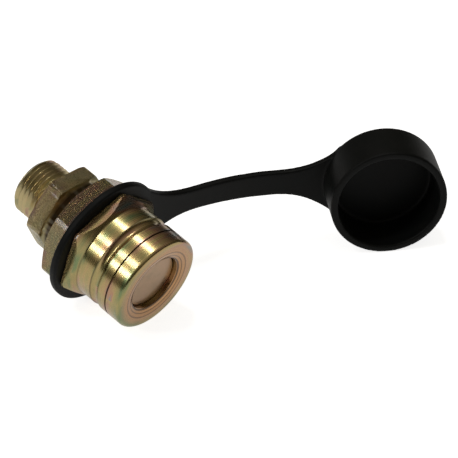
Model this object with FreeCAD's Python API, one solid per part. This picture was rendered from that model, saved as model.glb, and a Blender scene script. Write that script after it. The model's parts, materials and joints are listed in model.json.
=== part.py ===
import FreeCAD, Part
import math
import os

# Hydraulic brake coupling, male half, with its rubber dust cap, in millimetres.
# The coupling is drawn along an X axis of its own. The middle of the cap's ring is x = 0, the nose points
# to +X, and a turned form is a list of (x, radius) points. At the end everything is laid down as it comes
# to rest: the coupling on the cap's ring and its nose edge, the strap towards +Y, the cap on its side.

Vector = FreeCAD.Vector
ORIGIN = Vector(0, 0, 0)
ALONG = Vector(1, 0, 0)
SIDE = Vector(0, 1, 0)
UP = Vector(0, 0, 1)

# Nose of the body
nose_d = 30.2                   # slides into the female half
nose_reach = 22.3               # ring's middle plane to the front face
nose_edge_round = 1.1
mark_groove_back = 5.4          # middle of the thin turned mark, from the front face
mark_groove_width = 0.5
mark_groove_depth = 0.45
lock_groove_back = 10.2         # middle of the ball-locking groove, from the front face
lock_groove_width = 3.2
lock_groove_depth = 1.0
foot_round = 0.5                # where the cone runs out on the nose

# Hexagon of the body
body_hex_across = 32.0
body_hex_corner_d = 36.2        # drawn bar has rounded corners
body_hex_roll = 21.0            # degrees, first corner above the strap's side
body_hex_front = 2.4            # corner's front end
body_rear = -8.0                # rear face
rear_face_d = 31.0
front_cone = 45.0               # degrees from the axis
rear_chamfer = 30.0             # degrees from the face

# Valve bore, from the mouth inwards
valve_bore_d = 17.5
mouth_d = 22.8                  # outer edge of the shallow turned dish
mouth_ledge_d = 20.2
mouth_ledge_depth = 0.25
mouth_depth = 0.75
seat_back = 5.7                 # front face to the seat
seat_angle = 45.0
chamber_d = 20.4
body_edge_break = 0.3

# Adapter, from its stud to its spigot
stud_thread_d = 18.0            # M18 x 1.5 of a 12 mm tube fitting
stud_length = 10.9
stud_end_chamfer = 0.8
tube_d = 12.0
tube_bore_clearance = 0.05      # on the radius
tube_depth = 7.0                # stop shoulder, from the cone's mouth
cone_mouth_d = 14.3
cone_half_angle = 12.0
through_d = 10.0
adapter_hex_across = 24.0
adapter_hex_corner_d = 27.2
adapter_hex_roll = -2.4
adapter_hex_thickness = 5.5
adapter_face_d = 25.8           # round faces of the hexagon, inside its chamfers
collar_d = 23.6
collar_length = 4.6
spigot_thread_d = 22.0          # M22 x 1.5
spigot_thread_length = 8.0
spigot_nose_length = 5.0
spigot_clearance = 0.05         # on the radius, in the body
adapter_edge_break = 0.4

# Seal between spigot and body
seal_section = 1.8
seal_squeeze = 0.6              # section less gland height
seal_groove_width = 2.2
seal_back = 2.0                 # spigot's front end to the groove's middle

# Valve
valve_recess = 2.3              # front face to the poppet's face
disc_clearance = 0.15           # on the radius
disc_thickness = 3.1
disc_edge_break = 0.25
valve_seal_section = 1.6
valve_seal_gap = 0.05           # seal to seat
flange_clearance = 0.35         # on the radius, in the chamber
flange_thickness = 1.7
flange_slots = 4
flange_slot_r = 3.0
pilot_d = 8.4
pilot_length = 1.5
stem_d = 4.0
stem_clearance = 0.05
stem_tail = 1.0                 # past the guide
valve_travel = 5.5

# Guide in the spigot's counterbore
guide_bore_d = 14.0
guide_clearance = 0.05
guide_bore_depth = 8.0
guide_thickness = 2.4
hub_d = 6.8
hub_length = 6.0
flow_holes = 6
flow_hole_d = 2.6
flow_circle_d = 10.2

# Spring between guide and poppet
spring_wire = 1.2
spring_mean_d = 11.6
spring_turns = 4.5
spring_end_clearance = 0.01      # the plain wire ends stand on flat faces

# Dust cap: ring, strap and cup are one moulding
ring_d = 39.9
ring_thickness = 2.4
ring_edge_round = 0.5
ring_groove_d = 31.0
ring_clearance = 0.1            # on the radius, so that it turns
ring_side_clearance = 0.3
cup_clearance = 0.2             # on the radius, over the nose
cup_depth = 15.3
cup_wall = 2.3
cup_floor = 2.6                 # thicker than the strap, which runs into it
cup_edge_round = 1.6
cup_lip_chamfer = 0.4
strap_width = 8.3
strap_thickness = 2.3
strap_edge_round = 0.5
ring_fillet = 25.5              # strap's edges into the ring
cup_fillet = 25.3               # strap's edges into the cup
cup_turn = 39.3                 # degrees, the cup's axis from the nose's, seen from above
cup_centre_ahead = 35.6         # middle of the closed end, from the ring's centre
cup_centre_aside = 82.0
strap_root_turn = 6.5           # degrees, how the strap leaves the ring
strap_root_pull = 36.9          # how far each end keeps its direction
strap_cup_pull = 8.0
strap_sections = 9              # along the free run

# Derived stations and radii
nose_r = nose_d / 2
front_x = nose_reach
seat_x = front_x - seat_back
valve_bore_r = valve_bore_d / 2
chamber_r = chamber_d / 2
seat_end_x = seat_x - (chamber_r - valve_bore_r) / math.tan(math.radians(seat_angle))
spigot_shoulder_x = body_rear
thread_end_x = spigot_shoulder_x + spigot_thread_length
spigot_end_x = thread_end_x + spigot_nose_length
spigot_nose_r = chamber_r - spigot_clearance
adapter_hex_front_x = spigot_shoulder_x - collar_length
adapter_hex_rear_x = adapter_hex_front_x - adapter_hex_thickness
stud_end_x = adapter_hex_rear_x - stud_length
guide_seat_x = spigot_end_x - guide_bore_depth
guide_front_x = guide_seat_x + guide_thickness
poppet_face_x = front_x - valve_recess
disc_r = valve_bore_r - disc_clearance
disc_rear_x = poppet_face_x - disc_thickness
valve_seal_r = valve_seal_section / 2
flange_front_x = disc_rear_x - valve_seal_section - 0.1
flange_rear_x = flange_front_x - flange_thickness
flange_r = chamber_r - flange_clearance
ring_r = ring_d / 2
ring_bore_r = ring_groove_d / 2 + ring_clearance
cup_bore_r = nose_r + cup_clearance
cup_r = cup_bore_r + cup_wall


def turned(outline):
    """Solid of revolution about the X axis from its (x, radius) outline."""
    corners = [Vector(x, 0, radius) for x, radius in outline]
    face = Part.Face(Part.makePolygon(corners + corners[:1]))
    return face.revolve(ORIGIN, ALONG, 360)


def cylinder(radius, x_from, x_to):
    return Part.makeCylinder(radius, x_to - x_from, Vector(x_from, 0, 0), ALONG)


def torus(centre_r, section_r, x):
    return Part.makeTorus(centre_r, section_r, Vector(x, 0, 0), ALONG)


def hexagon_bar(across, roll, x_from, x_to):
    """Hexagonal bar with its first corner turned up from +Y by the roll angle."""
    corners = []
    for step in range(7):
        angle = math.radians(roll + 60 * step)
        reach = across / math.sqrt(3)
        corners.append(Vector(x_from, reach * math.cos(angle), reach * math.sin(angle)))
    return Part.Face(Part.makePolygon(corners)).extrude(Vector(x_to - x_from, 0, 0))


def rims(shape, x, radius):
    """Circular edges of a turned shape at one station and radius."""
    found = []
    for edge in shape.Edges:
        curve = edge.Curve
        if isinstance(curve, Part.Circle) and abs(curve.Radius - radius) < 0.001:
            if abs(curve.Center.x - x) < 0.001:
                found.append(edge)
    return found


def coupling_body():
    """Body turned from hexagonal bar: ring groove, cone, nose and its grooves, valve bore and port."""
    corner_r = body_hex_corner_d / 2
    groove_half = ring_thickness / 2 + ring_side_clearance
    cone_length = (corner_r - nose_r) / math.tan(math.radians(front_cone))
    chamfer_length = (corner_r - rear_face_d / 2) * math.tan(math.radians(rear_chamfer))
    body = turned([
        (body_rear, 0),
        (body_rear, rear_face_d / 2),
        (body_rear + chamfer_length, corner_r),
        (-groove_half, corner_r),
        (-groove_half, ring_groove_d / 2),
        (groove_half, ring_groove_d / 2),
        (groove_half, corner_r),
        (body_hex_front, corner_r),
        (body_hex_front + cone_length, nose_r),
        (front_x, nose_r),
        (front_x, 0),
    ])
    body = body.makeFillet(nose_edge_round, rims(body, front_x, nose_r))
    body = body.makeFillet(foot_round, rims(body, body_hex_front + cone_length, nose_r))
    body = body.common(hexagon_bar(body_hex_across, body_hex_roll, body_rear, front_x))
    body = body.cut(mark_groove()).cut(lock_groove())
    return body.cut(valve_bore()).removeSplitter()


def mark_groove():
    x = front_x - mark_groove_back
    half = mark_groove_width / 2
    floor_r = nose_r - mark_groove_depth
    past_r = nose_r + mark_groove_depth
    return turned([(x - half, past_r), (x - half, floor_r), (x + half, floor_r), (x + half, past_r)])


def lock_groove():
    """Rounded groove for the locking balls, cut by a ring of round section."""
    half = lock_groove_width / 2
    section_r = (half ** 2 + lock_groove_depth ** 2) / (2 * lock_groove_depth)
    return torus(nose_r - lock_groove_depth + section_r, section_r, front_x - lock_groove_back)


def valve_bore():
    """Space inside the body: dished mouth, valve bore, seat, chamber and threaded port."""
    port_r = spigot_thread_d / 2 + spigot_clearance
    return turned([
        (front_x, 0),
        (front_x, mouth_d / 2),
        (front_x - mouth_ledge_depth, mouth_ledge_d / 2),
        (front_x - mouth_depth, valve_bore_r + 0.2),
        (front_x - mouth_depth - 0.2, valve_bore_r),
        (seat_x, valve_bore_r),
        (seat_end_x, chamber_r),
        (thread_end_x + spigot_clearance, chamber_r),
        (thread_end_x + spigot_clearance, port_r),
        (body_rear + body_edge_break, port_r),
        (body_rear, port_r + body_edge_break),
        (body_rear, 0),
    ])


def rear_adapter():
    """Adapter turned from smaller hexagonal bar: pipe stud, hexagon, collar and spigot."""
    stud_r = stud_thread_d / 2
    corner_r = adapter_hex_corner_d / 2
    face_r = adapter_face_d / 2
    chamfer_length = (corner_r - face_r) * math.tan(math.radians(rear_chamfer))
    thread_r = spigot_thread_d / 2
    adapter = turned([
        (stud_end_x, 0),
        (stud_end_x, stud_r - stud_end_chamfer),
        (stud_end_x + stud_end_chamfer, stud_r),
        (adapter_hex_rear_x, stud_r),
        (adapter_hex_rear_x, face_r),
        (adapter_hex_rear_x + chamfer_length, corner_r),
        (adapter_hex_front_x - chamfer_length, corner_r),
        (adapter_hex_front_x, face_r),
        (adapter_hex_front_x, collar_d / 2),
        (spigot_shoulder_x - adapter_edge_break, collar_d / 2),
        (spigot_shoulder_x, collar_d / 2 - adapter_edge_break),
        (spigot_shoulder_x, thread_r),
        (thread_end_x - adapter_edge_break, thread_r),
        (thread_end_x, thread_r - adapter_edge_break),
        (thread_end_x, spigot_nose_r),
        (spigot_end_x - adapter_edge_break, spigot_nose_r),
        (spigot_end_x, spigot_nose_r - adapter_edge_break),
        (spigot_end_x, 0),
    ])
    adapter = adapter.common(hexagon_bar(adapter_hex_across, adapter_hex_roll, stud_end_x, spigot_end_x))
    adapter = adapter.cut(seal_groove()).cut(adapter_bore())
    return adapter.removeSplitter()


def adapter_bore():
    """Pipe socket from the stud's end, through bore, and the guide's counterbore at the spigot's end."""
    tube_r = tube_d / 2 + tube_bore_clearance
    mouth_r = cone_mouth_d / 2
    cone_length = (mouth_r - tube_r) / math.tan(math.radians(cone_half_angle))
    return turned([
        (stud_end_x, 0),
        (stud_end_x, mouth_r),
        (stud_end_x + cone_length, tube_r),
        (stud_end_x + cone_length + tube_depth, tube_r),
        (stud_end_x + cone_length + tube_depth, through_d / 2),
        (guide_seat_x, through_d / 2),
        (guide_seat_x, guide_bore_d / 2),
        (spigot_end_x, guide_bore_d / 2),
        (spigot_end_x, 0),
    ])


def seal_groove():
    x = spigot_end_x - seal_back
    half = seal_groove_width / 2
    floor_r = chamber_r - (seal_section - seal_squeeze)
    past_r = chamber_r + 1
    return turned([(x - half, past_r), (x - half, floor_r), (x + half, floor_r), (x + half, past_r)])


def adapter_seal_ring():
    """Seal ring squeezed to an oval between the groove's floor and the body's bore."""
    height = seal_section - seal_squeeze
    centre = Vector(spigot_end_x - seal_back, 0, chamber_r - height / 2)
    oval = Part.Ellipse(centre + ALONG * (seal_section / 2), centre + UP * (height / 2), centre)
    return Part.Face(Part.Wire(oval.toShape())).revolve(ORIGIN, ALONG, 360)


def valve_seal_centre():
    """Station and radius of the valve seal's section, just clear of the conical seat."""
    slope = math.radians(seat_angle)
    x = disc_rear_x - valve_seal_r - 0.05
    to_seat = (valve_seal_r + valve_seal_gap) / math.cos(slope)
    return x, valve_bore_r + (seat_x - x) * math.tan(slope) - to_seat


def valve_poppet():
    """Poppet: flat front disc, seal groove, slotted flange, spring pilot and stem."""
    seal_x, seal_r = valve_seal_centre()
    neck_r = seal_r - valve_seal_r
    lip_r = disc_r + 0.4
    stem_end_x = guide_seat_x - stem_tail
    poppet = turned([
        (poppet_face_x, 0),
        (poppet_face_x, disc_r - disc_edge_break),
        (poppet_face_x - disc_edge_break, disc_r),
        (disc_rear_x, disc_r),
        (disc_rear_x, neck_r),
        (flange_front_x, neck_r),
        (flange_front_x, lip_r),
        (flange_front_x - (flange_r - lip_r), flange_r),
        (flange_rear_x, flange_r),
        (flange_rear_x, pilot_d / 2),
        (flange_rear_x - pilot_length, pilot_d / 2 - 0.3),
        (flange_rear_x - pilot_length, stem_d / 2),
        (stem_end_x + 0.5, stem_d / 2),
        (stem_end_x, stem_d / 2 - 0.5),
        (stem_end_x, 0),
    ])
    for slot in range(flange_slots):
        slot_cutter = Part.makeCylinder(
            flange_slot_r, flange_thickness + 2, Vector(flange_rear_x - 1, 0, flange_r + flange_slot_r * 0.55), ALONG)
        slot_cutter = slot_cutter.common(cylinder(2 * chamber_r, flange_rear_x - 1, flange_front_x))
        slot_cutter.rotate(ORIGIN, ALONG, 360 / flange_slots * slot)
        poppet = poppet.cut(slot_cutter)
    return poppet


def valve_seal_ring():
    seal_x, seal_r = valve_seal_centre()
    return torus(seal_r, valve_seal_r, seal_x)


def valve_guide():
    """Guide: a disc on the counterbore's floor, drilled for the oil, with a long hub for the stem."""
    guide_r = guide_bore_d / 2 - guide_clearance
    guide = turned([
        (guide_seat_x, stem_d / 2 + stem_clearance),
        (guide_seat_x, guide_r),
        (guide_front_x - 0.3, guide_r),
        (guide_front_x, guide_r - 0.3),
        (guide_front_x, hub_d / 2),
        (guide_seat_x + hub_length - 0.4, hub_d / 2),
        (guide_seat_x + hub_length, hub_d / 2 - 0.4),
        (guide_seat_x + hub_length, stem_d / 2 + stem_clearance),
    ])
    for hole in range(flow_holes):
        drill = Part.makeCylinder(
            flow_hole_d / 2, guide_thickness + 2, Vector(guide_seat_x - 1, 0, flow_circle_d / 2), ALONG)
        drill.rotate(ORIGIN, ALONG, 360 / flow_holes * hole)
        guide = guide.cut(drill)
    return guide


def valve_spring():
    """Compression spring with plain ends, from the guide's disc to the poppet's flange."""
    length = flange_rear_x - guide_front_x
    mean_r = spring_mean_d / 2
    wire_r = spring_wire / 2 + spring_end_clearance
    wound = length - 2 * wire_r
    path = Part.makeHelix(wound / spring_turns, wound, mean_r)
    section = Part.Wire(Part.Circle(Vector(mean_r, 0, 0), SIDE, spring_wire / 2).toShape())
    coil = Part.Wire(path.Edges).makePipeShell([section], True, True)
    coil.translate(Vector(0, 0, wire_r))
    coil.rotate(ORIGIN, SIDE, 90)
    coil.translate(Vector(guide_front_x, 0, 0))
    return coil


# How the coupling rests: a line that touches the ring's edge and the nose's edge is the floor
ring_bulge_r = ring_r - ring_edge_round
ring_bulge_x = ring_thickness / 2 - ring_edge_round
nose_bulge_r = nose_r - nose_edge_round
nose_bulge_x = front_x - nose_edge_round
fall = ring_bulge_r - nose_bulge_r
run = nose_bulge_x - ring_bulge_x
nose_down = math.atan2(fall, run) - math.asin((nose_edge_round - ring_edge_round) / math.hypot(fall, run))
axis_height = (ring_bulge_r * math.cos(nose_down) + ring_bulge_x * math.sin(nose_down) + ring_edge_round)


def laid_down(shape):
    """The coupling's own frame, nose dipped to the floor, with the floor at z = 0."""
    shape = shape.copy()
    shape.rotate(ORIGIN, SIDE, math.degrees(nose_down))
    shape.translate(Vector(0, 0, axis_height))
    return shape


def strap_route(share):
    """Point and direction on the strap's middle line, from the ring (0) to the cup (1)."""
    start = Vector(0, strap_start_reach, axis_height)
    end = cup_centre + cup_middle_offset - cup_heading * strap_end_reach
    root_turn = math.radians(strap_root_turn)
    root_heading = Vector(math.sin(root_turn), math.cos(root_turn), 0)
    hold = start + root_heading * strap_root_pull
    ease = end - cup_heading * strap_cup_pull
    rest = 1 - share
    point = start * rest ** 3 + hold * (3 * rest ** 2 * share) + ease * (3 * rest * share ** 2) + end * share ** 3
    heading = (hold - start) * rest ** 2 + (ease - hold) * (2 * rest * share) + (end - ease) * share ** 2
    return point, heading.normalize()


def flare(fillet, disc_r):
    """Reach from a round piece's centre at which the strap's edge fillets begin and end."""
    side = strap_width / 2 + fillet
    full_reach = math.sqrt((disc_r + fillet) ** 2 - side ** 2)
    return full_reach, full_reach * disc_r / (disc_r + fillet)


def flared_width(fillet, disc_r, reach):
    full_reach, root_reach = flare(fillet, disc_r)
    if reach >= full_reach:
        return strap_width
    rise = math.sqrt(fillet ** 2 - (full_reach - reach) ** 2)
    return strap_width + 2 * (fillet - rise)


# The cup lies on its side, and its closed end faces back towards the rear of the coupling
cup_angle = math.radians(cup_turn)
cup_axis = Vector(math.cos(cup_angle), -math.sin(cup_angle), 0)
cup_heading = Vector(math.sin(cup_angle), math.cos(cup_angle), 0)
cup_middle_offset = cup_axis * (cup_floor / 2)
cup_centre = Vector(cup_centre_ahead, cup_centre_aside, cup_r) - cup_middle_offset
strap_start_reach = max(flare(ring_fillet, ring_r)[1], ring_bore_r + 0.3)
strap_end_reach = flare(cup_fillet, cup_r)[1]


def strap_section(share, width):
    """Rounded rectangle across the strap, twisting from the ring's plane to the cup's."""
    point, heading = strap_route(share)
    lean = nose_down * (1 - share) ** 2 * (1 + 2 * share)
    upright = Vector(math.sin(lean), 0, math.cos(lean))
    upright = (upright - heading * upright.dot(heading)).normalize()
    across = upright.cross(heading)
    half_w = width / 2
    half_t = strap_thickness / 2
    corner = strap_edge_round
    slant = corner * (1 - math.sqrt(0.5))
    edges = []
    for turn_t, turn_w in ((1, 1), (-1, 1), (-1, -1), (1, -1)):
        flank = point + across * (turn_t * half_t) + upright * (turn_w * (half_w - corner))
        knee = point + across * (turn_t * (half_t - slant)) + upright * (turn_w * (half_w - slant))
        crown = point + across * (turn_t * (half_t - corner)) + upright * (turn_w * half_w)
        first, last = (flank, crown) if turn_t * turn_w > 0 else (crown, flank)
        edges.append((first, knee, last))
    outline = []
    for number, (first, knee, last) in enumerate(edges):
        outline.append(Part.Arc(first, knee, last).toShape())
        outline.append(Part.LineSegment(last, edges[(number + 1) % 4][0]).toShape())
    return Part.Wire(outline)


def strap_stations():
    """Shares of the route, closer together along the flares at its two ends."""
    return [0.5 - 0.5 * math.cos(math.pi * step / (2 * strap_sections)) for step in range(2 * strap_sections + 1)]


def route_lengths(shares):
    """Length of the route up to each share, by short chords."""
    chords = 400
    lengths = [0.0]
    previous = strap_route(0)[0]
    for step in range(1, chords + 1):
        point = strap_route(step / chords)[0]
        lengths.append(lengths[-1] + point.distanceToPoint(previous))
        previous = point
    return [lengths[round(share * chords)] for share in shares], lengths[-1]


def strap():
    shares = strap_stations()
    lengths, whole = route_lengths(shares)
    sections = []
    for share, length in zip(shares, lengths):
        from_ring = flared_width(ring_fillet, ring_r, strap_start_reach + length)
        from_cup = flared_width(cup_fillet, cup_r, strap_end_reach + whole - length)
        sections.append(strap_section(share, from_ring + from_cup - strap_width))
    return Part.makeLoft(sections, True, False)


def cap_ring():
    half = ring_thickness / 2
    ring = turned([(-half, ring_bore_r), (-half, ring_r), (half, ring_r), (half, ring_bore_r)])
    edges = rims(ring, -half, ring_r) + rims(ring, half, ring_r)
    edges += rims(ring, -half, ring_bore_r) + rims(ring, half, ring_bore_r)
    return laid_down(ring.makeFillet(ring_edge_round, edges))


def cup():
    """Cup that goes over the nose, closed end at x = 0 before it is put in place."""
    shell = turned([
        (0, 0),
        (0, cup_r),
        (cup_depth, cup_r),
        (cup_depth, cup_bore_r + cup_lip_chamfer),
        (cup_depth - cup_lip_chamfer, cup_bore_r),
        (cup_floor, cup_bore_r),
        (cup_floor, 0),
    ])
    shell = shell.makeFillet(cup_edge_round, rims(shell, 0, cup_r))
    shell = shell.makeFillet(cup_edge_round / 2, rims(shell, cup_floor, cup_bore_r))
    shell = shell.makeFillet(cup_lip_chamfer, rims(shell, cup_depth, cup_r))
    shell.rotate(ORIGIN, UP, -cup_turn)
    shell.translate(cup_centre)
    return shell


def dust_cap():
    """Ring, strap and cup as one moulding."""
    return cap_ring().fuse([strap(), cup()]).removeSplitter()


pieces = {
    "coupling_body": laid_down(coupling_body()),
    "rear_adapter": laid_down(rear_adapter()),
    "adapter_seal_ring": laid_down(adapter_seal_ring()),
    "valve_poppet": laid_down(valve_poppet()),
    "valve_seal_ring": laid_down(valve_seal_ring()),
    "valve_guide": laid_down(valve_guide()),
    "valve_spring": laid_down(valve_spring()),
    "dust_cap": dust_cap(),
}

# The part's origin is on the floor, under the middle of the whole
whole = Part.makeCompound(list(pieces.values())).optimalBoundingBox()
to_origin = Vector(-whole.Center.x, -whole.Center.y, -whole.ZMin)

os.makedirs("parts", exist_ok=True)
for name, shape in pieces.items():
    shape.translate(to_origin)
    shape.exportStep("parts/" + name + ".step")
    print(name, len(shape.Solids), shape.isValid(), round(shape.Volume, 1))
print("ring centre at", Vector(0, 0, axis_height) + to_origin, "nose down", math.degrees(nose_down))
print("cup centre at", cup_centre + to_origin)
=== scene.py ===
import json
import math

import bpy
from mathutils import Matrix, Vector

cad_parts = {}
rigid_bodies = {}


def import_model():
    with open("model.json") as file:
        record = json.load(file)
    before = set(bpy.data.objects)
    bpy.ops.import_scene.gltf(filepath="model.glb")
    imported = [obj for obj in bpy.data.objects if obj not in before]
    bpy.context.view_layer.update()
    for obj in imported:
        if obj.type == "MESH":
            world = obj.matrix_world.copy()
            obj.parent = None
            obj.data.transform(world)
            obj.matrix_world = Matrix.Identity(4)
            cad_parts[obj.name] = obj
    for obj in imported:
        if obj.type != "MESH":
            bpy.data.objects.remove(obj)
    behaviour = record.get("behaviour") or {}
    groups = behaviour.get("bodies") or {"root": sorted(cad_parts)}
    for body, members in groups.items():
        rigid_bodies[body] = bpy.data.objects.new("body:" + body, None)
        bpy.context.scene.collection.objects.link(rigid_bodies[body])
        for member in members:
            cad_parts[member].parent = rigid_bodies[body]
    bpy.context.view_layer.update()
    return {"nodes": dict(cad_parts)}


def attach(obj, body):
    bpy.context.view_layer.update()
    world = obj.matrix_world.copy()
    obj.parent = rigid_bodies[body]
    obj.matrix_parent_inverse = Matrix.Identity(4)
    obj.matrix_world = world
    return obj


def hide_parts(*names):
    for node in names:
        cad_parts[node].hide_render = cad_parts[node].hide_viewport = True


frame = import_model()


# Coupling body
# One piece turned from drawn hexagonal steel bar, zinc plated and yellow passivated. The nose is
# turned smooth, and the bar's flats keep the pitted skin of the drawn bar under the plating.
ring_centre = Vector((-0.01365527, -0.03792071, 0.01959154))  # on the coupling's axis
nose_down = math.radians(13.26705)
axis_out = Vector((math.cos(nose_down), 0, -math.sin(nose_down)))
# places on the axis, here and in all sections, in millimetres in front of the ring's middle
front_face_start = 21.4  # on the nose's rounded front edge
turned_side_end = 21.0
mark_groove = 16.9
ball_groove_front = 13.7
ball_groove_rear = 10.5
cone_end = 5.4
hexagon_front = 2.4
behind_the_part = -60.0
# places on the front face, in millimetres off the axis
rim_edge = 14.6
rim_inside = 11.6
dish_edge = 11.4
dish_line = 10.1
mouth_edge = 9.1
body_film = [(0.32, "#7C8A5C"), (0.42, "#A59862"), (0.51, "#B69E68"), (0.59, "#B4886C"),
             (0.70, "#84908A")]
body_front_tint = "#C29466"
# painted shade for the grooves, corners and the collar between the hexagons
brown_residue = "#2C2218"
# painted shade for the bottoms of the pits
pickled_pit = "#4A3F2C"


def linear(hex_colour):
    """An sRGB hex colour as linear red, green and blue, with full alpha."""
    parts = [int(hex_colour[i:i + 2], 16) / 255 for i in (1, 3, 5)]
    parts = [p / 12.92 if p <= 0.04045 else ((p + 0.055) / 1.055) ** 2.4 for p in parts]
    return (*parts, 1.0)


def add(tree, kind, settings=None, inputs=None, links=None, stops=None):
    """A new shader node with its settings, plain inputs, links and, on a colour ramp, its stops."""
    node = tree.nodes.new("ShaderNode" + kind)
    for name, value in (settings or {}).items():
        setattr(node, name, value)
    for name, value in (inputs or {}).items():
        node.inputs[name].default_value = value
    for name, socket in (links or {}).items():
        tree.links.new(socket, node.inputs[name])
    if stops:
        elements = node.color_ramp.elements
        while len(elements) < len(stops):
            elements.new(0.5)
        for element, (place, colour) in zip(elements, stops):
            element.position = place
            element.color = linear(colour)
    return node


def empty_tree(owner):
    """The node tree of a material or a world, with nothing in it."""
    owner.use_nodes = True
    owner.node_tree.nodes.clear()
    return owner.node_tree


def around_the_axis(tree):
    """The place in millimetres, its parts, whose X runs along the axis, and how far off that is."""
    place = add(tree, "TexCoord").outputs["Object"]
    turned = add(tree, "Mapping", {"vector_type": "TEXTURE"},
                 {"Location": ring_centre, "Rotation": (0, nose_down, 0),
                  "Scale": (0.001, 0.001, 0.001)}, {"Vector": place}).outputs["Vector"]
    parts = add(tree, "SeparateXYZ", links={"Vector": turned}).outputs
    across = add(tree, "CombineXYZ", links={"X": parts["Y"], "Y": parts["Z"]}).outputs["Vector"]
    radius = add(tree, "VectorMath", {"operation": "LENGTH"}, links={0: across}).outputs["Value"]
    return turned, parts, radius


def passivated_zinc(name, film, front_tint, flats, roughness, dark_bands=(), dark_rings=()):
    """Zinc plated steel, yellow passivated after turning.

    The chromate film is a fraction of a micrometre thick and drifts between gold, olive and pink
    from place to place. Turned faces carry circular tool lines, and the drawn flats between two
    places on the axis are pitted, with painted shade in the pits' bottoms. Bands on the axis and
    rings on the front face, each a middle, a half width and a strength, get painted brown shade
    where grooves, corners and the gap between parts lie in shadow.
    """
    film_patch = 5.0  # mm along the axis
    sweep = 3.0  # mm for each radian, so that a patch is drawn out to 25 mm round the nose
    tool_line = 0.25  # mm, where real ones are 0.1 mm apart and would not show
    line_height = 0.00003  # m
    pit = 0.3125  # mm, where real ones are 0.1 mm across and would not show
    pit_depth = 0.0007  # m, also drawn larger than the real depth, or the flats would look smooth
    pit_edge, pit_bottom = 0.52, 0.38  # of the noise, which lies round 0.5
    pit_stain = 0.55
    fade = 0.2  # mm over which the flats begin and end
    full_share = 0.4  # the share of a band or ring where its painted shade has its full strength
    smoothest, roughest = roughness - 0.05, roughness + 0.09
    drawn_change = -0.03  # the drawn skin between the pits is a little smoother than turned steel
    mixed = 2  # a mix node gives a number, a vector and a colour, in this order
    material = bpy.data.materials.new(name)
    tree = empty_tree(material)
    place, parts, radius = around_the_axis(tree)
    along = parts["X"]

    # the film's patches
    angle = add(tree, "Math", {"operation": "ARCTAN2"},
                links={0: parts["Z"], 1: parts["Y"]}).outputs[0]
    swept = add(tree, "Math", {"operation": "MULTIPLY"}, {1: sweep}, {0: angle}).outputs[0]
    patches_at = add(tree, "CombineXYZ",
                     links={"X": along, "Y": swept, "Z": radius}).outputs["Vector"]
    drift = add(tree, "TexNoise", inputs={"Scale": 1 / film_patch, "Detail": 3.0, "Roughness": 0.6},
                links={"Vector": patches_at}).outputs["Fac"]
    colour = add(tree, "ValToRGB", links={"Fac": drift}, stops=film).outputs["Color"]

    # the face that points forward is pinkish towards its middle
    facing = add(tree, "MapRange",
                 inputs={"From Min": turned_side_end, "From Max": front_face_start},
                 links={"Value": along}).outputs["Result"]
    inner = add(tree, "MapRange", inputs={"From Min": rim_edge, "From Max": rim_inside},
                links={"Value": radius}).outputs["Result"]
    forward = add(tree, "Math", {"operation": "MULTIPLY"}, links={0: facing, 1: inner}).outputs[0]
    tinted = add(tree, "Mix", {"data_type": "RGBA"}, {"B": linear(front_tint)},
                 {"Factor": forward, "A": colour}).outputs[mixed]

    # painted shade: brown darkening in the grooves and corners, where shade falls
    for station, marks in ((along, dark_bands), (radius, dark_rings)):
        for middle, half_width, strength in marks:
            off = add(tree, "Math", {"operation": "SUBTRACT"}, {1: middle}, {0: station}).outputs[0]
            off = add(tree, "Math", {"operation": "ABSOLUTE"}, links={0: off}).outputs[0]
            dirt = add(tree, "MapRange",
                       inputs={"From Min": half_width, "From Max": half_width * full_share,
                               "To Max": strength}, links={"Value": off}).outputs["Result"]
            if station == radius:
                dirt = add(tree, "Math", {"operation": "MULTIPLY"},
                           links={0: dirt, 1: facing}).outputs[0]
            tinted = add(tree, "Mix", {"data_type": "RGBA"}, {"B": linear(brown_residue)},
                         {"Factor": dirt, "A": tinted}).outputs[mixed]

    # circular tool lines, the same all the way round the axis
    lines_at = add(tree, "CombineXYZ", links={"X": along, "Y": radius}).outputs["Vector"]
    lines = add(tree, "TexNoise", inputs={"Scale": 1 / tool_line, "Detail": 2.0},
                links={"Vector": lines_at}).outputs["Fac"]

    # pits in the drawn skin, with painted shade that darkens their bottoms brown
    pits = add(tree, "TexNoise", inputs={"Scale": 1 / pit, "Detail": 3.0, "Roughness": 0.65},
               links={"Vector": place}).outputs["Fac"]
    flats_rear, flats_front = flats
    after = add(tree, "MapRange", inputs={"From Min": flats_rear, "From Max": flats_rear + fade},
                links={"Value": along}).outputs["Result"]
    before = add(tree, "MapRange", inputs={"From Min": flats_front, "From Max": flats_front - fade},
                 links={"Value": along}).outputs["Result"]
    drawn = add(tree, "Math", {"operation": "MULTIPLY"}, links={0: after, 1: before}).outputs[0]
    bottoms = add(tree, "MapRange",
                  inputs={"From Min": pit_edge, "From Max": pit_bottom, "To Max": pit_stain},
                  links={"Value": pits}).outputs["Result"]
    stained = add(tree, "Math", {"operation": "MULTIPLY"}, links={0: bottoms, 1: drawn}).outputs[0]
    # painted shade in the pits' bottoms
    skin = add(tree, "Mix", {"data_type": "RGBA"}, {"B": linear(pickled_pit)},
               {"Factor": stained, "A": tinted}).outputs[mixed]

    line_bump = add(tree, "Bump", inputs={"Strength": 0.10, "Distance": line_height},
                    links={"Height": lines}).outputs["Normal"]
    bump = add(tree, "Bump", inputs={"Distance": pit_depth},
               links={"Strength": drawn, "Height": pits, "Normal": line_bump}).outputs["Normal"]
    worn = add(tree, "MapRange", inputs={"To Min": smoothest, "To Max": roughest},
               links={"Value": lines}).outputs["Result"]
    rough = add(tree, "Math", {"operation": "MULTIPLY_ADD"}, {1: drawn_change},
                {0: drawn, 2: worn}).outputs[0]
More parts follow.
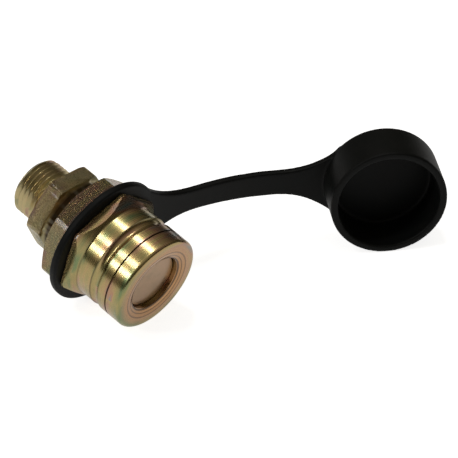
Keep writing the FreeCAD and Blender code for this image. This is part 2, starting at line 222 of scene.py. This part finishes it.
    # the coat is the clear top of the film
    shader = add(tree, "BsdfPrincipled",
                 inputs={"Metallic": 1.0, "Coat Weight": 0.45, "Coat Roughness": 0.14,
                         "Coat IOR": 1.6},
                 links={"Base Color": skin, "Roughness": rough, "Normal": bump})
    add(tree, "OutputMaterial", links={"Surface": shader.outputs["BSDF"]})
    return material


def paint(piece, material):
    """Puts one material on the whole piece."""
    piece.data.materials.clear()
    piece.data.materials.append(material)


paint(frame["nodes"]["coupling_body"],
      passivated_zinc("turned_yellow_passivated_zinc", body_film, body_front_tint,
                      (behind_the_part, hexagon_front), 0.25,
                      # painted shade in the grooves, at the cone's foot and in the ring lines of
                      # the front face
                      dark_bands=[(mark_groove, 0.35, 0.8), (ball_groove_rear, 0.25, 0.5),
                                  (ball_groove_front, 0.25, 0.5), (cone_end, 0.3, 0.35)],
                      dark_rings=[(dish_edge, 0.30, 0.55), (dish_line, 0.22, 0.6),
                                  (mouth_edge, 0.35, 0.8)]))


# Rear adapter
# One turned piece screwed into the body: a smaller hexagon, and a stud with a rolled M18 x 1.5
# thread for the pipe's union nut. Zinc plated and yellow passivated like the body.
collar_middle = -10.3
adapter_hexagon_front = -12.6
hexagon_rear = -18.1
stud_end = -29.0
stud_length = hexagon_rear - stud_end
plain_stud_end = 8.2  # radius at which the plain stud's chamfer meets its end face
stud_lead_in = 8.05  # radius at the end of the threaded stud, a little under the thread's root
thread_pitch = 1.5
thread_crest = 9.0
thread_root = 8.08
thread_steps = 72
thread_turns = 9
tuck = 0.05  # mm that the hexagon's face goes in under the thread's root
near = 0.05  # mm within which a vertex or a face counts as being at a size
flush = 0.02  # the same for the vertices of one flat face, along the axis
weld = 0.000002  # m, the distance at which two vertices of a CAD mesh become one
thread_weld = 0.000005
adapter_film = [(0.30, "#98946C"), (0.45, "#BAAB7C"), (0.57, "#C4AE80"), (0.68, "#A68470"),
                (0.80, "#7E6A5C")]
adapter_front_tint = "#B39C72"


def on_axis(along):
    """The point on the axis that is so many millimetres in front of the ring's middle."""
    return ring_centre + axis_out * (along / 1000)


def along_and_off(point):
    """How far a point lies along the axis and off it, in millimetres."""
    offset = point - ring_centre
    along = offset.dot(axis_out)
    return along * 1000, (offset - axis_out * along).length * 1000


def only(piece):
    """Makes this piece the only one selected, and the active one."""
    bpy.ops.object.select_all(action="DESELECT")
    piece.select_set(True)
    bpy.context.view_layer.objects.active = piece


def pick(piece, kind, wanted):
    """Selects the vertices or faces of a piece that the test wants, and leaves it in edit mode."""
    bpy.ops.object.mode_set(mode="EDIT")
    bpy.ops.mesh.select_mode(type=kind)
    bpy.ops.mesh.select_all(action="DESELECT")
    bpy.ops.object.mode_set(mode="OBJECT")
    if kind == "FACE":
        for face in piece.data.polygons:
            face.select = wanted(*along_and_off(face.center))
    else:
        for vertex in piece.data.vertices:
            vertex.select = wanted(*along_and_off(vertex.co))
    bpy.ops.object.mode_set(mode="EDIT")


def shrink_towards_axis(factor, along):
    """Scales what is selected round the point on the axis at this place."""
    bpy.ops.transform.resize(value=(factor, factor, factor), center_override=on_axis(along))


def copy_of_node(node, name):
    """A new piece with a merged copy of a CAD node's mesh."""
    piece = bpy.data.objects.new(name, frame["nodes"][node].data.copy())
    bpy.context.scene.collection.objects.link(piece)
    only(piece)
    bpy.ops.object.mode_set(mode="EDIT")
    bpy.ops.mesh.select_all(action="SELECT")
    bpy.ops.mesh.remove_doubles(threshold=weld)
    bpy.ops.object.mode_set(mode="OBJECT")
    return piece


adapter = copy_of_node("rear_adapter", "threaded_adapter")
# the stud's plain skin and its chamfer come off
pick(adapter, "FACE", lambda along, off: (stud_end + near < along < hexagon_rear - near
                                          and off > plain_stud_end + near))
bpy.ops.mesh.delete(type="FACE")
# the hexagon's rear face is carried in to just under the thread's root
pick(adapter, "VERT", lambda along, off: (abs(along - hexagon_rear) < flush
                                          and abs(off - thread_crest) < near))
bpy.ops.mesh.extrude_edges_move()
shrink_towards_axis((thread_root - tuck) / thread_crest, hexagon_rear)
# the stud's end face stops at the lead-in
pick(adapter, "VERT", lambda along, off: (abs(along - stud_end) < flush
                                          and abs(off - plain_stud_end) < near))
shrink_towards_axis(stud_lead_in / plain_stud_end, stud_end)
bpy.ops.object.mode_set(mode="OBJECT")

# one pitch of the thread, as distance along the stud and radius with slightly rounded crest and
# root, is screwed up the stud
flank = [(0, thread_root), (0.124, 8.11), (0.60, 8.93), (0.75, thread_crest), (0.90, 8.93),
         (1.376, 8.11), (thread_pitch, thread_root)]
outline = bpy.data.meshes.new("thread_profile")
outline.from_pydata([(r / 1000, 0, (z - thread_pitch) / 1000) for z, r in flank],
                    [(i, i + 1) for i in range(len(flank) - 1)], [])
thread = bpy.data.objects.new("thread", outline)
bpy.context.scene.collection.objects.link(thread)
only(thread)
screw = thread.modifiers.new("screw", "SCREW")
screw.axis = "Z"
screw.screw_offset = thread_pitch / 1000
screw.iterations = thread_turns
screw.steps = thread_steps
screw.render_steps = thread_steps
screw.use_merge_vertices = False
bpy.ops.object.modifier_apply(modifier="screw")
bpy.ops.object.mode_set(mode="EDIT")
bpy.ops.mesh.select_all(action="SELECT")
bpy.ops.mesh.remove_doubles(threshold=thread_weld)
# what stands out beyond the hexagon and beyond the stud's end comes off
for height, outward in ((0, -1), (stud_length / 1000, 1)):
    bpy.ops.mesh.select_all(action="SELECT")
    bpy.ops.mesh.bisect(plane_co=(0, 0, height), plane_no=(0, 0, outward), clear_outer=True)
bpy.ops.mesh.select_all(action="SELECT")
bpy.ops.mesh.normals_make_consistent(inside=False)
bpy.ops.object.mode_set(mode="OBJECT")
# the lead-in, a chamfer of 45 degrees
for vertex in thread.data.vertices:
    off = math.hypot(vertex.co.x, vertex.co.y) * 1000
    most = stud_lead_in + (stud_length - vertex.co.z * 1000)
    if off > most:
        vertex.co.x *= most / off
        vertex.co.y *= most / off
# the thread's shell is open, so its normals may have come out inwards
middle_face = thread.data.polygons[len(thread.data.polygons) // 2]
if middle_face.normal.to_2d().dot(middle_face.center.to_2d()) < 0:
    bpy.ops.object.mode_set(mode="EDIT")
    bpy.ops.mesh.select_all(action="SELECT")
    bpy.ops.mesh.flip_normals()
    bpy.ops.object.mode_set(mode="OBJECT")
rearwards = (-axis_out).to_track_quat("Z", "Y").to_matrix().to_4x4()
thread.matrix_world = Matrix.Translation(on_axis(hexagon_rear)) @ rearwards
bpy.ops.object.transform_apply(location=True, rotation=True, scale=True)
bpy.ops.object.select_all(action="DESELECT")
thread.select_set(True)
adapter.select_set(True)
bpy.context.view_layer.objects.active = adapter
bpy.ops.object.join()
only(adapter)
bpy.ops.object.shade_smooth_by_angle(angle=math.radians(30))
paint(adapter,
      passivated_zinc("rolled_and_turned_yellow_passivated_zinc", adapter_film, adapter_front_tint,
                      (hexagon_rear, adapter_hexagon_front), 0.31,
                      # painted shade on the collar, in the shadowed gap between the adapter's
                      # hexagon and the body
                      dark_bands=[(collar_middle, 2.6, 0.9)]))
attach(adapter, "coupling")
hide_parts("rear_adapter")


# Valve poppet
# A turned steel poppet with a stem, which the valve spring holds shut. Only its flat front disc
# shows, in the mouth. Zinc plated and yellow passivated, with a film that is tan to pink.
poppet_film = [(0.30, "#A98D6C"), (0.50, "#B39372"), (0.70, "#B99678"), (0.85, "#AE9272")]
poppet_front_tint = "#B08C72"
no_flats = (60.0, 61.0)  # ahead of the whole part
paint(frame["nodes"]["valve_poppet"],
      passivated_zinc("faced_pink_passivated_zinc", poppet_film, poppet_front_tint, no_flats, 0.36))


# Valve guide and valve spring
# A drilled steel disc with a hub for the poppet's stem, and a coil of hard drawn spring wire with
# plain ends. Both are left bare and oiled, and sit inside the body.
def bare_steel(name, colour_low, colour_high, roughness):
    """Bare steel: grey, with faint circular tool lines and an oily half gloss."""
    stain_size = 2.5  # mm
    lines_per_mm = 3.0  # where real ones are finer and would not show
    line_height = 0.00003  # m
    smoothest, roughest = roughness - 0.06, roughness + 0.08
    material = bpy.data.materials.new(name)
    tree = empty_tree(material)
    place, parts, radius = around_the_axis(tree)
    lines_at = add(tree, "CombineXYZ", links={"X": parts["X"], "Y": radius}).outputs["Vector"]
    lines = add(tree, "TexNoise", inputs={"Scale": lines_per_mm, "Detail": 3.0},
                links={"Vector": lines_at}).outputs["Fac"]
    stain = add(tree, "TexNoise", inputs={"Scale": 1 / stain_size, "Detail": 3.0},
                links={"Vector": place}).outputs["Fac"]
    colour = add(tree, "ValToRGB", links={"Fac": stain},
                 stops=[(0.35, colour_low), (0.65, colour_high)]).outputs["Color"]
    rough = add(tree, "MapRange", inputs={"To Min": smoothest, "To Max": roughest},
                links={"Value": lines}).outputs["Result"]
    bump = add(tree, "Bump", inputs={"Strength": 0.12, "Distance": line_height},
               links={"Height": lines}).outputs["Normal"]
    shader = add(tree, "BsdfPrincipled", inputs={"Metallic": 1.0},
                 links={"Base Color": colour, "Roughness": rough, "Normal": bump})
    add(tree, "OutputMaterial", links={"Surface": shader.outputs["BSDF"]})
    return material


paint(frame["nodes"]["valve_guide"], bare_steel("turned_bare_steel", "#8C8B88", "#A6A5A0", 0.34))
paint(frame["nodes"]["valve_spring"], bare_steel("drawn_spring_wire", "#77767A", "#93928F", 0.28))


# Dust cap
# One moulding of black rubber: a ring that snaps into the body's groove, a flat strap and a cup for
# the nose. Half matt, with the fine grain of the mould and a softly rounded edge everywhere.
cap_voxel = 0.00034  # m, which keeps the cap under 200,000 triangles
soften_passes = 6
ring_outside = 19  # mm off the axis, a little inside the ring's outer face
ring_reach = 1  # mm along the axis, less than half the ring's depth


def moulded_rubber(name, colour_low, colour_high, roughness):
    """Carbon black rubber: nearly black, half matt, with a fine moulded grain and flow clouds."""
    clouds_per_metre = 140.0  # 7 mm across
    grains_per_metre = 2600.0  # 0.4 mm, where the real grain is finer and would not show
    grain_height = 0.00005  # m
    smoothest, roughest = roughness - 0.06, roughness + 0.08
    material = bpy.data.materials.new(name)
    tree = empty_tree(material)
    place = add(tree, "TexCoord").outputs["Object"]
    cloud = add(tree, "TexNoise", inputs={"Scale": clouds_per_metre, "Detail": 4.0},
                links={"Vector": place}).outputs["Fac"]
    grain = add(tree, "TexNoise", inputs={"Scale": grains_per_metre, "Detail": 2.0},
                links={"Vector": place}).outputs["Fac"]
    colour = add(tree, "ValToRGB", links={"Fac": cloud},
                 stops=[(0.35, colour_low), (0.68, colour_high)]).outputs["Color"]
    rough = add(tree, "MapRange", inputs={"To Min": smoothest, "To Max": roughest},
                links={"Value": cloud}).outputs["Result"]
    bump = add(tree, "Bump", inputs={"Strength": 0.15, "Distance": grain_height},
               links={"Height": grain}).outputs["Normal"]
    shader = add(tree, "BsdfPrincipled", inputs={"IOR": 1.5, "Specular IOR Level": 0.12},
                 links={"Base Color": colour, "Roughness": rough, "Normal": bump})
    add(tree, "OutputMaterial", links={"Surface": shader.outputs["BSDF"]})
    return material


cap = copy_of_node("dust_cap", "rubber_dust_cap")
remesh = cap.modifiers.new("remesh", "REMESH")
remesh.mode = "VOXEL"
remesh.voxel_size = cap_voxel
bpy.ops.object.modifier_apply(modifier="remesh")
# the remesh leaves a tiny void in a wall, so only what hangs together with the ring's skin stays
pick(cap, "VERT", lambda along, off: abs(along) < ring_reach and off > ring_outside)
bpy.ops.mesh.select_linked()
bpy.ops.mesh.select_all(action="INVERT")
bpy.ops.mesh.delete(type="VERT")
bpy.ops.object.mode_set(mode="OBJECT")
soften = cap.modifiers.new("soften", "SMOOTH")
soften.factor = 0.5
soften.iterations = soften_passes
bpy.ops.object.modifier_apply(modifier="soften")
bpy.ops.object.shade_smooth()
paint(cap, moulded_rubber("moulded_black_rubber", "#0F1110", "#161615", 0.48))
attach(cap, "cap")
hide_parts("dust_cap")


# Seal rings
# Two O-rings of nitrile rubber, moulded and oiled, so smoother than the cap. One sits behind the
# adapter's thread and one in the poppet's groove.
nitrile = moulded_rubber("moulded_nitrile_rubber", "#0F0F0F", "#161616", 0.32)
paint(frame["nodes"]["adapter_seal_ring"], nitrile)
paint(frame["nodes"]["valve_seal_ring"], nitrile)


# Studio
# A floor of white paper, three softboxes where the highlights on the turned bands put them, and a
# dim room round them. The paper glows for the camera, which sees it pure white in the photograph.
lamp_distance = 1.0
lamp_height = 0.20
floor_radius = 2.0
floor_glow_seen = 0.84
floor_glow_mirrored = 0.40  # the metal mirrors paper that is less brightly lit
paper_white = "#F0F0F0"
room_shades = [(0.0, "#12100D"), (0.30, "#413C33"), (0.62, "#6E685D"), (1.0, "#A8A6A0")]

for name, towards, width, power in (("softbox_left", (-0.314, -0.795, 0.517), 0.09, 1.1),
                                    ("softbox_high_left", (-0.249, -0.523, 0.815), 0.08, 0.9),
                                    ("softbox_overhead", (-0.217, 0.203, 0.954), 0.12, 1.1)):
    lamp = bpy.data.lights.new(name, "AREA")
    lamp.shape = "RECTANGLE"
    lamp.size = width
    lamp.size_y = lamp_height
    lamp.energy = power
    holder = bpy.data.objects.new(name, lamp)
    bpy.context.scene.collection.objects.link(holder)
    direction = Vector(towards).normalized()
    holder.location = ring_centre + direction * lamp_distance
    holder.rotation_euler = direction.to_track_quat("Z", "Y").to_euler()

bpy.ops.object.select_all(action="DESELECT")
bpy.ops.mesh.primitive_circle_add(vertices=96, radius=floor_radius, fill_type="NGON",
                                  location=(0, 0, 0))
floor = bpy.context.active_object
floor.name = "floor"
paper = bpy.data.materials.new("white_paper")
tree = empty_tree(paper)
seen = add(tree, "LightPath").outputs
mirrored = add(tree, "Math", {"operation": "MAXIMUM"},
               links={0: seen["Is Glossy Ray"], 1: seen["Is Transmission Ray"]}).outputs[0]
in_metal = add(tree, "Math", {"operation": "MULTIPLY"}, {1: floor_glow_mirrored},
               {0: mirrored}).outputs[0]
glow = add(tree, "Math", {"operation": "MULTIPLY_ADD"}, {1: floor_glow_seen},
           {0: seen["Is Camera Ray"], 2: in_metal}).outputs[0]
glowing = add(tree, "Emission", inputs={"Color": (1, 1, 1, 1)}, links={"Strength": glow})
matt = add(tree, "BsdfDiffuse", inputs={"Color": linear(paper_white)})
both = add(tree, "AddShader", links={0: glowing.outputs[0], 1: matt.outputs[0]})
add(tree, "OutputMaterial", links={"Surface": both.outputs[0]})
paint(floor, paper)

room = bpy.data.worlds.new("dim_room")
bpy.context.scene.world = room
tree = empty_tree(room)
sky = add(tree, "TexCoord").outputs["Generated"]
upward = add(tree, "SeparateXYZ", links={"Vector": sky}).outputs["Z"]
shade = add(tree, "ValToRGB", links={"Fac": upward}, stops=room_shades).outputs["Color"]
light = add(tree, "Background", inputs={"Strength": 1.0}, links={"Color": shade})
add(tree, "OutputWorld", links={"Surface": light.outputs[0]})


# Camera
# The place and the lens that a fit to the photograph's outlines gives. The shifts to the right and
# up put the coupling where it is in the picture, left of the middle.
camera_azimuth = math.radians(43.10)
camera_elevation = math.radians(34.82)
camera_lens = 164.07
camera_from = 0.37  # mm along the axis
camera_distance = 0.600  # m, as the two shifts
camera_right = 0.03601
camera_up = 0.003449

back = Vector((math.sin(camera_azimuth) * math.cos(camera_elevation),
               -math.cos(camera_azimuth) * math.cos(camera_elevation), math.sin(camera_elevation)))
right = Vector((math.cos(camera_azimuth), math.sin(camera_azimuth), 0))
up = back.cross(right)
camera = bpy.data.objects.new("camera", bpy.data.cameras.new("camera"))
bpy.context.scene.collection.objects.link(camera)
camera.data.sensor_width = 36
camera.data.lens = camera_lens
camera.location = (on_axis(camera_from) + back * camera_distance
                   + right * camera_right + up * camera_up)
camera.rotation_euler = Matrix((right, up, back)).transposed().to_euler()
camera.data.clip_start = 0.01
camera.data.clip_end = 20
bpy.context.scene.camera = camera
bpy.context.scene.view_settings.view_transform = "Standard"
